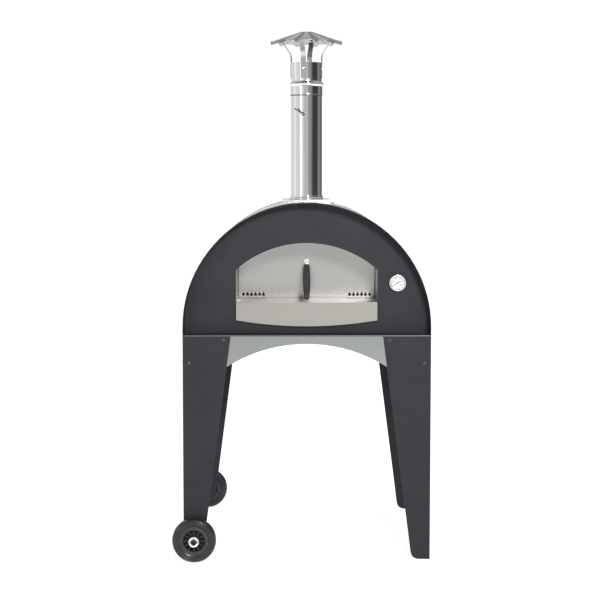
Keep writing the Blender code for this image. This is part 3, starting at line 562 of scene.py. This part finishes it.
def build_wheel(row):
    facing = -1 if row == "front" else 1
    centre = middle(f"{row}_wheel_tyre")
    body = f"{row}_wheel"
    at = Matrix.Translation(centre) @ (FACING_FRONT if facing < 0 else FACING_REAR)

    half_tyre = [(0.0536, 0.0172), (0.0565, 0.0186), (0.0600, 0.0190), (0.0606, 0.0180),
                 (0.0618, 0.0181), (0.0628, 0.0194), (0.0680, 0.0198), (0.0686, 0.0188),
                 (0.0698, 0.0187), (0.0708, 0.0196), (0.0752, 0.0182), (0.0782, 0.0150),
                 (0.0796, 0.0098), (0.0800, 0.0060), (0.0800, 0.0036), (0.0790, 0.0030),
                 (0.0790, 0.0018), (0.0800, 0.0012)]
    mirrored = [(radius, -height) for radius, height in half_tyre]
    full = mirrored + half_tyre[::-1]
    turned(f"{row}_tyre_moulded", closed_ring(full, 0.0006), 96, at, "rubber", f"{row}_wheel_tyre",
           ring=True)

    # Rim: hub, deep web, outer bead, with ribs standing in the recess on both sides.
    half_rim = [(0.0133, 0.0294), (0.0190, 0.0294), (0.0203, 0.0284), (0.0216, 0.0165),
                (0.0226, 0.0140), (0.0236, 0.0035), (0.0384, 0.0030), (0.0392, 0.0150),
                (0.0400, 0.0186), (0.0412, 0.0190), (0.0455, 0.0190), (0.0462, 0.0181),
                (0.0474, 0.0181), (0.0481, 0.0190), (0.0525, 0.0189), (0.0532, 0.0182)]
    mirrored = [(radius, -height) for radius, height in half_rim]
    bm = bmesh.new()
    lathe(bm, closed_ring(mirrored + half_rim[::-1], 0.0008), 96, at, closed=True)
    add_piece(f"{row}_rim_moulded", bm, "nylon", body, (f"{row}_wheel_rim",))
    ribs = bmesh.new()
    for index in range(RIBS):
        spoke = at @ Matrix.Rotation(math.tau * index / RIBS, 4, "Z")
        for bottom, top in ((-RIB_TOP, -RIB_FOOT), (RIB_FOOT, RIB_TOP)):
            block(ribs, (RIB_INNER, -RIB_HALF, bottom), (RIB_OUTER, RIB_HALF, top), spoke)
    bevel_edges(ribs, ribs.edges[:], 0.0006, 2)
    add_piece(f"{row}_rim_ribs", ribs, "nylon", body)

    # Painted shade: near-black discs laid over the web face at the bottom of the recess, standing in
    # for the shade in it.
    web = bmesh.new()
    for side in (-1, 1):
        lathe(web, [(0.0236, side * 0.0038), (0.0384, side * 0.0033), (0.0384, side * 0.0030),
                    (0.0236, side * 0.0030)], 72, at, closed=True)
    add_piece(f"{row}_rim_recess_painted_shade", web, "nylon_painted_shade", body)

    # The bush sleeve is near-black, painted shade for the hub's bore.
    low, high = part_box(f"{row}_wheel_bush")
    half = (high.y - low.y) / 2
    sleeve = [(0.0103, -half), (0.0130, -half), (0.0130, half), (0.0103, half)]
    turned(f"{row}_bush_moulded", closed_ring(sleeve, 0.0004), 64, at, "nylon_painted_shade",
           f"{row}_wheel_bush", ring=True)


def build_axle():
    low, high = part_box("axle")
    centre = middle("axle")
    half = (high.y - low.y) / 2
    at = Matrix.Translation(centre) @ FACING_FRONT
    tube = [(0.0070, -half), (0.0100, -half), (0.0100, half), (0.0070, half)]
    turned("axle_tube", closed_ring(tube, 0.0008), 64, at, "black_steel", "axle", ring=True)
    # The end plugs are near-black, painted shade standing in for the dark open bore of the tube.
    plugs = bmesh.new()
    pins = bmesh.new()
    for facing, turn in ((-1, FACING_FRONT), (1, FACING_REAR)):
        end = Matrix.Translation(Vector((centre.x, facing * half, centre.z))) @ turn
        plug = [(0.0, -0.0016), (0.0052, -0.0016), (0.0066, -0.0008), (0.0069, -0.0030),
                (0.0069, -0.0090), (0.0, -0.0090)]
        lathe(plugs, rounded(plug, 0.0004), 40, end)
        split_pin(pins, end @ Matrix.Translation((0, 0, -0.0062)))
    add_piece("axle_end_plugs", plugs, "nylon_painted_shade", "oven")
    add_piece("axle_split_pins", pins, "screw", "oven")
    for row, turn in (("front", FACING_FRONT), ("rear", FACING_REAR)):
        low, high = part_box(f"{row}_axle_washer")
        half = (high.y - low.y) / 2
        flat = [(0.0103, -half), (0.0184, -half), (0.0184, half), (0.0103, half)]
        turned(f"{row}_washer_pressed", closed_ring(flat, 0.0007), 64,
               Matrix.Translation(middle(f"{row}_axle_washer")) @ turn, "zinc",
               f"{row}_axle_washer", ring=True)


def sweep(bm, points, radius, sides=10):
    """A round wire along points, closed at both ends."""
    rings = []
    for index, point in enumerate(points):
        ahead = points[min(index + 1, len(points) - 1)] - points[max(index - 1, 0)]
        turn = ahead.to_track_quat("Z", "Y").to_matrix()
        rings.append([bm.verts.new(point + turn @ Vector((radius * math.cos(math.tau * s / sides),
                                                          radius * math.sin(math.tau * s / sides),
                                                          0))) for s in range(sides)])
    for low, high in zip(rings, rings[1:]):
        for s in range(sides):
            t = (s + 1) % sides
            bm.faces.new((low[s], low[t], high[t], high[s]))
    bm.faces.new(rings[0][::-1])
    bm.faces.new(rings[-1])


def split_pin(bm, matrix):
    """A wire pin across the tube's end: an eye at one side, two bent legs at the other."""
    eye = [Vector((0.0122 + 0.0022 * math.cos(a), 0.0022 * math.sin(a), 0))
           for a in (math.radians(d) for d in range(-140, 141, 28))]
    sweep(bm, [matrix @ point for point in eye], 0.0009)
    for side in (-1, 1):
        leg = [Vector((0.0112, side * 0.0008, 0)), Vector((0.0, side * 0.0008, 0)),
               Vector((-0.0112, side * 0.0008, 0)), Vector((-0.0126, side * 0.0022, 0)),
               Vector((-0.0134, side * 0.0046, 0))]
        sweep(bm, [matrix @ point for point in leg], 0.0009)


# ---------------------------------------------------------------- the flue

BEAD_Z = 1.7410
STRAP_SCREW_Z = 1.800
STRAP_FACE = 0.0598                     # from the pipe's axis to the outside of a strap


def build_flue():
    axis = Matrix.Translation((FLUE.x, FLUE.y, 0)) @ Matrix.Rotation(FLUE_TURN, 4, "Z")
    low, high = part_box("flue_pipe")
    radius = (high.x - low.x) / 2
    wall = 0.0012
    tube = [(radius - wall, low.z), (radius, low.z), (radius, high.z), (radius - wall, high.z)]
    bm = bmesh.new()
    lathe(bm, closed_ring(tube, 0.0004), 128, axis, closed=True)
    seam = [axis @ Vector((0.004, radius - 0.0001, low.z + 0.08 + 0.42 * step / 40))
            for step in range(41)]
    sweep(bm, seam, 0.0006, 8)
    add_piece("flue_pipe_drawn", bm, "polished_steel", "oven", ("flue_pipe",))

    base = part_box("flue_collar")[0].z
    collar = [(0.0606, base), (0.0664, base), (0.0665, base + 0.0035), (0.0636, base + 0.0070),
              (0.0624, base + 0.0115), (0.0622, base + 0.0150), (0.0606, base + 0.0150)]
    turned("flue_collar_spun", closed_ring(collar, 0.0008), 128, axis, "polished_steel",
           "flue_collar", ring=True)

    low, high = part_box("cap_tube")
    foot, top = low.z, high.z
    bead = []
    for step in range(9):
        angle = math.radians(-80 + 20 * step)
        bead.append((0.0612 + 0.0055 * math.cos(angle), BEAD_Z + 0.0062 * math.sin(angle)))
    outer = ([(0.0616, foot), (0.0616, foot + 0.0012), (0.0613, foot + 0.0030), (0.0613, 1.7335)]
             + bead + [(0.0590, 1.7520), (0.0581, 1.7580), (0.0580, 1.7640), (0.0580, top)])
    inner = [(0.0568, top), (0.0568, 1.7480), (0.0604, 1.7400), (0.0604, foot)]
    turned("cap_tube_spun", closed_ring(outer + inner, 0.0003), 128, axis, "polished_steel",
           "cap_tube", ring=True)

    # Painted shadow: a thin dark ring round the cap tube's foot, standing in for the shadow in the
    # joint's groove.
    shade_ring = [(0.0601, foot - 0.0042), (0.0611, foot - 0.0042), (0.0611, foot - 0.0004),
            (0.0601, foot - 0.0004)]
    turned("cap_joint_painted_shade_ring", closed_ring(shade_ring, 0.0003), 128, axis, "screw", "cap_tube", ring=True,
           replaces=False)
    refine("rain_hat", "steel_hat", 0.0004)
    rivet = bmesh.new()
    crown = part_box("rain_hat")[1].z
    lathe(rivet, rounded([(0.0, 0.0012), (0.0040, 0.0010), (0.0072, 0.0), (0.0072, -0.0008),
                          (0.0, -0.0008)], 0.001), 36, axis @ Matrix.Translation((0, 0, crown)))
    add_piece("hat_rivet", rivet, "zinc", "oven")
    screws = bmesh.new()
    for number in range(4):
        refine(f"hat_strut_{number + 1}", "steel_hat", 0.0004)
        spot = (axis @ Matrix.Rotation(math.pi / 2 * number, 4, "Z")
                @ Matrix.Translation((STRAP_FACE, 0, STRAP_SCREW_Z))
                @ Matrix.Rotation(math.pi / 2, 4, "Y"))
        button_screw(screws, spot, 0.0040, 0.0022, 0.0047, 0.0021, 0.006)
    add_piece("strap_screws", screws, "zinc", "oven")


def build_damper():
    # The lever's dark finish is painted shade for its shaded side.
    refine("damper_lever", "wire", 0.0003)
    refine("damper_plate", "steel_fired", 0.0003)
    refine("damper_spindle", "zinc", 0.0003)


# ---------------------------------------------------------------- the door

HANDLE_RISE = 0.137                     # from the hearth to the handle's root
HANDLE_LEAN = math.radians(131)


def build_door():
    refine("door_panel", "steel_door", 0.0005)
    refine("door_inner_skin", "steel_sooted", 0.0003)
    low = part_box("door_panel")[0]
    root = Vector((CENTRE_X, low.y - 0.0003, low.z - 0.0006 + HANDLE_RISE))
    lean = Matrix.Translation(root) @ Matrix.Rotation(HANDLE_LEAN, 4, "X")
    refine("handle_stud", "zinc", 0.0004)

    ferrule = [(0.0034, 0.0120), (0.0052, 0.0120), (0.0062, 0.0136), (0.0078, 0.0170),
               (0.0100, 0.0208), (0.0112, 0.0226), (0.0118, 0.0242), (0.0118, 0.0262),
               (0.0034, 0.0262)]
    turned("handle_ferrule_turned", closed_ring(ferrule, 0.0006), 64, lean, "chrome",
           "handle_ferrule", ring=True)
    body = [(0.0, 0.0460), (0.0034, 0.0460), (0.0034, 0.0265), (0.0108, 0.0265), (0.0118, 0.0278),
            (0.0121, 0.0300), (0.0116, 0.0318), (0.0120, 0.0336)]
    for step in range(1, 12):
        along = step / 12
        swell = 0.0120 + 0.0023 * math.sin(math.pi * min(1.0, along * 1.05)) ** 0.8
        body.append((swell - 0.0017 * along ** 2, 0.0336 + 0.150 * along))
    body += [(0.0104, 0.1850), (0.0098, 0.1885), (0.0082, 0.1908), (0.0045, 0.1919),
             (0.0, 0.1920)]
    turned("handle_grip_moulded", rounded(body, 0.0006, 2), 64, lean, "grip", "handle_grip")


# ---------------------------------------------------------------- the gauge

BEZEL_BACK = 0.0115                     # from the panel's face to the back of the bezel


def build_gauge():
    panel_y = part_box("thermometer_bezel")[1].y + BEZEL_BACK
    at = Matrix.Translation((GAUGE.x, panel_y, GAUGE.z)) @ FACING_FRONT

    case = [(0, -0.0120), (0.0060, -0.0120), (0.0060, 0.0003), (0.0290, 0.0003),
            (0.0299, 0.0010), (0.0300, 0.0112), (0.0286, 0.0112), (0.0286, 0.0022), (0, 0.0022)]
    turned("thermometer_case_spun", rounded(case, 0.0006), 80, at, "chrome", "thermometer_case")
    bezel = [(0.0262, 0.0122), (0.0270, BEZEL_BACK), (0.0304, BEZEL_BACK), (0.0305, 0.0127),
             (0.0298, 0.0136), (0.0286, 0.0142), (0.0272, 0.0141), (0.0264, 0.0132)]
    turned("thermometer_bezel_spun", closed_ring(bezel, 0.0004), 80, at, "chrome",
           "thermometer_bezel", ring=True)
    dial = [(0.0015, 0.0030), (0.0280, 0.0030), (0.0280, 0.0040), (0.0015, 0.0040)]
    turned("thermometer_dial_pressed", closed_ring(dial, 0.0001), 80, at, "dial_white",
           "thermometer_dial", ring=True)
    glass = [(0.0, 0.0088), (0.0280, 0.0088), (0.0280, 0.0102), (0.0, 0.0102)]
    turned("thermometer_glass_cut", rounded(glass, 0.0003), 80, at, "glass", "thermometer_glass")
    refine("thermometer_probe", "zinc", 0.0004)
    refine("thermometer_lock_nut", "zinc", 0.0005)
    refine("thermometer_needle", "needle_black", 0.0001)
    build_dial_print(at)


SCALE_START = math.radians(214)
SCALE_SWEEP = math.radians(248)
SCALE_DIVISIONS = 50
ARC_STEPS = 60


def build_dial_print(at):
    """Scale, arc and figures, standing 0.05 to 0.07 mm off the dial."""
    first, last = SCALE_START, SCALE_START - SCALE_SWEEP
    marks = bmesh.new()
    for step in range(SCALE_DIVISIONS + 1):
        angle = first + (last - first) * step / SCALE_DIVISIONS
        major = step % 10 == 0
        medium = step % 5 == 0
        inner = 0.0205 if major else 0.0218 if medium else 0.0228
        half = 0.00035 if major else 0.00024 if medium else 0.00014
        block(marks, (inner, -half, 0.0040), (0.0250, half, 0.00406),
              at @ Matrix.Rotation(angle, 4, "Z"))
    add_piece("dial_scale", marks, "dial_print", "oven")
    arc = bmesh.new()
    for part in range(ARC_STEPS):
        one = first + (last - first) * part / ARC_STEPS
        two = first + (last - first) * (part + 1) / ARC_STEPS
        corners = []
        for height in (0.0040, 0.00405):
            for radius, angle in ((0.0254, one), (0.0268, one), (0.0268, two), (0.0254, two)):
                corners.append(arc.verts.new(at @ Vector((radius * math.cos(angle),
                                                         radius * math.sin(angle), height))))
        for face in ((0, 1, 2, 3), (4, 5, 6, 7), (0, 1, 5, 4), (1, 2, 6, 5), (2, 3, 7, 6),
                     (3, 0, 4, 7)):
            arc.faces.new([corners[index] for index in face])
    bmesh.ops.remove_doubles(arc, verts=arc.verts, dist=1e-7)
    add_piece("dial_arc", arc, "dial_grey", "oven")
    for step in range(6):
        angle = first + (last - first) * step / 5
        curve = bpy.data.curves.new(f"dial_figure_{step}", "FONT")
        curve.body = str(step * 100)
        curve.size = 0.0054
        curve.align_x = "CENTER"
        curve.align_y = "CENTER"
        curve.extrude = 0.00003
        figure = bpy.data.objects.new(f"dial_figure_{step}", curve)
        bpy.context.scene.collection.objects.link(figure)
        spot = (0.0165 * math.cos(angle), 0.0165 * math.sin(angle), 0.00404)
        figure.matrix_world = at @ Matrix.Translation(spot)
        curve.materials.append(FINISH["dial_print"])
        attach(figure, "oven")


# ---------------------------------------------------------------- the studio

FLOOR_GLOW = 0.66
FLOOR_HALF = 40
TENT_RADIUS = 30
# The light tent's brightness round the oven: degrees from the front, rightwards, against level.
TENT_ROUND = ((-180, 0.95), (-150, 0.95), (-115, 0.74), (-94, 1.10), (-76, 0.82), (-58, 0.80),
              (-40, 0.90), (-25, 0.80), (-11, 0.56), (4, 0.62), (18, 0.34), (34, 0.30),
              (44, 0.10), (56, 0.05), (84, 0.05), (95, 0.20), (104, 0.28), (116, 0.24),
              (130, 0.12), (150, 0.14), (180, 0.95))
TENT_TOP = 0.50
TENT_FADE = (7.5, 20.0)                 # heights between which the sides turn into the top
CAMERA_SPOT = (-0.01195, -5.3625, 1.4992)
CAMERA_PITCH = 4.0                      # degrees below level


def build_floor():
    bm = bmesh.new()
    bmesh.ops.create_grid(bm, x_segments=24, y_segments=24, size=FLOOR_HALF)
    mesh = bpy.data.meshes.new("floor")
    bm.to_mesh(mesh)
    bm.free()
    floor = bpy.data.objects.new("floor", mesh)
    bpy.context.scene.collection.objects.link(floor)
    floor.location.z = -0.0005
    made, _, shader = material("floor_paper", Base_Color=(0.88, 0.88, 0.88, 1.0), Roughness=0.9)
    shader.inputs["Emission Color"].default_value = (1.0, 1.0, 1.0, 1.0)
    shader.inputs["Emission Strength"].default_value = FLOOR_GLOW
    mesh.materials.append(made)


def build_tent():
    """A soft surround that lights and is mirrored but stays out of the picture."""
    bm = bmesh.new()
    bmesh.ops.create_uvsphere(bm, u_segments=64, v_segments=32, radius=TENT_RADIUS)
    mesh = bpy.data.meshes.new("light_tent")
    bm.to_mesh(mesh)
    bm.free()
    mesh.shade_smooth()
    tent = bpy.data.objects.new("light_tent", mesh)
    bpy.context.scene.collection.objects.link(tent)
    made = bpy.data.materials.new("tent_cloth")
    made.use_nodes = True
    made.cycles.emission_sampling = "NONE"
    tree = made.node_tree
    tree.nodes.clear()
    source = node(tree, "ShaderNodeTexCoord").outputs["Object"]
    split = node(tree, "ShaderNodeSeparateXYZ", {"Vector": source})
    back = maths(tree, "MULTIPLY", split.outputs["Y"], -1.0)
    round_angle = maths(tree, "ARCTAN2", split.outputs["X"], back)
    share = spread(tree, round_angle, -math.pi, math.pi)
    ramp = node(tree, "ShaderNodeValToRGB", {"Fac": share})
    stops = ramp.color_ramp.elements
    while len(stops) > 1:
        stops.remove(stops[-1])
    for index, (degrees, level) in enumerate(TENT_ROUND):
        stop = stops[0] if index == 0 else stops.new((degrees + 180) / 360)
        stop.position = (degrees + 180) / 360
        stop.color = (level, level, level, 1.0)
    height = spread(tree, split.outputs["Z"], *TENT_FADE)
    colour = blend(tree, height, ramp.outputs["Color"], (TENT_TOP, TENT_TOP, TENT_TOP))
    glow = node(tree, "ShaderNodeEmission", {"Color": colour, "Strength": 1.0})
    result = node(tree, "ShaderNodeOutputMaterial")
    tree.links.new(glow.outputs["Emission"], result.inputs["Surface"])
    mesh.materials.append(made)
    tent.visible_camera = False

    world = bpy.data.worlds.new("studio")
    bpy.context.scene.world = world
    world.use_nodes = True
    world.node_tree.nodes["Background"].inputs["Color"].default_value = (1.02, 1.02, 1.02, 1.0)


def light(name, spot, aim, power, size, size_y=None):
    """A soft round or rectangular lamp that stays out of the picture."""
    lamp = bpy.data.lights.new(name, "AREA")
    lamp.energy = power
    lamp.shape = "RECTANGLE" if size_y else "DISK"
    lamp.size = size
    if size_y:
        lamp.size_y = size_y
    holder = bpy.data.objects.new(name, lamp)
    bpy.context.scene.collection.objects.link(holder)
    holder.location = spot
    holder.rotation_euler = (Vector(aim) - Vector(spot)).to_track_quat("-Z", "Y").to_euler()
    holder.visible_camera = False


def build_studio():
    build_floor()
    build_tent()
    light("key", (1.2, -5.7, 3.55), (0, 0, 1.0), 365, 1.3)
    light("left_bank", (-2.5, -3.15, 1.6), (0, 0, 1.3), 10, 0.9, 2.6)


def build_camera():
    """A long lens level with the pipe, pitched down a little and shifted to frame the oven."""
    lens = bpy.data.cameras.new("camera")
    lens.lens = 83.60
    lens.sensor_width = 36.0
    lens.shift_x = 0.00301
    lens.shift_y = -0.09087
    holder = bpy.data.objects.new("camera", lens)
    bpy.context.scene.collection.objects.link(holder)
    holder.location = CAMERA_SPOT
    holder.rotation_euler = (math.radians(90 - CAMERA_PITCH), 0, 0)
    bpy.context.scene.camera = holder
    bpy.context.scene.view_settings.view_transform = "Standard"


build_body()
build_leg_screws()
build_wheel("front")
build_wheel("rear")
build_axle()
build_flue()
build_damper()
build_door()
build_gauge()
build_studio()
build_camera()
